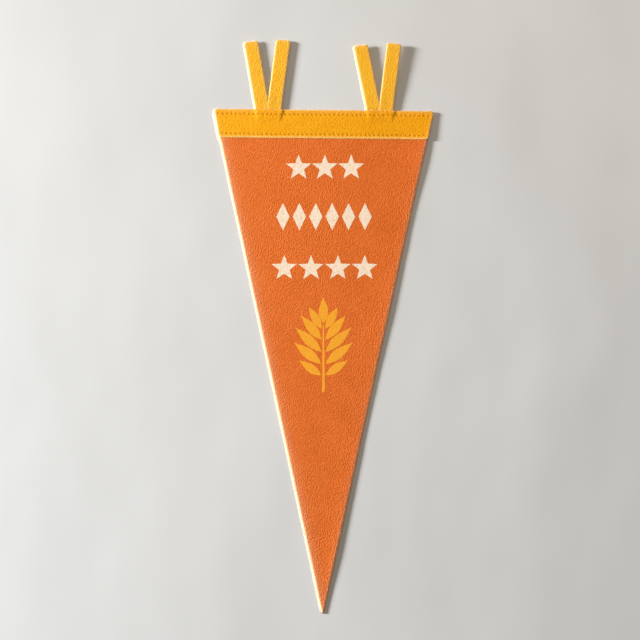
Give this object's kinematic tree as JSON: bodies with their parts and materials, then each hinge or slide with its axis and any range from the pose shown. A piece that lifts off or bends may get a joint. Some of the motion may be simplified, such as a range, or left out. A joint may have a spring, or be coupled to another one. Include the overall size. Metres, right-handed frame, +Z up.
{
  "type": "felt pennant flag",
  "caption": "Long triangular felt pennant with a stitched header strip and paired ties along its wide end, lying flat face up.",
  "frame": {"origin": "on the surface the pennant lies on, under the middle of its bounding box", "axes": "+X across the pennant, +Y along it from the tip towards the ties, +Z up off the surface, out of the printed face"},
  "size_m": [0.2074, 0.5434, 0.0057],
  "materials": {
    "orange_felt": "matte pressed felt, dyed orange on its face, pale at its cut edges",
    "yellow_felt": "matte pressed felt, dyed golden yellow on its face, pale at its cut edges",
    "sewing_thread": "twisted yellow sewing thread, slight sheen",
    "cream_print": "thin matte cream ink on felt",
    "yellow_print": "thin matte yellow ink on felt"
  },
  "bodies": {
    "root": {"pennant_body": "orange_felt", "header_strip": "yellow_felt", "tie_left_outer": "yellow_felt", "tie_left_inner": "yellow_felt", "tie_right_inner": "yellow_felt", "tie_right_outer": "yellow_felt"}
  },
  "joints": []
}
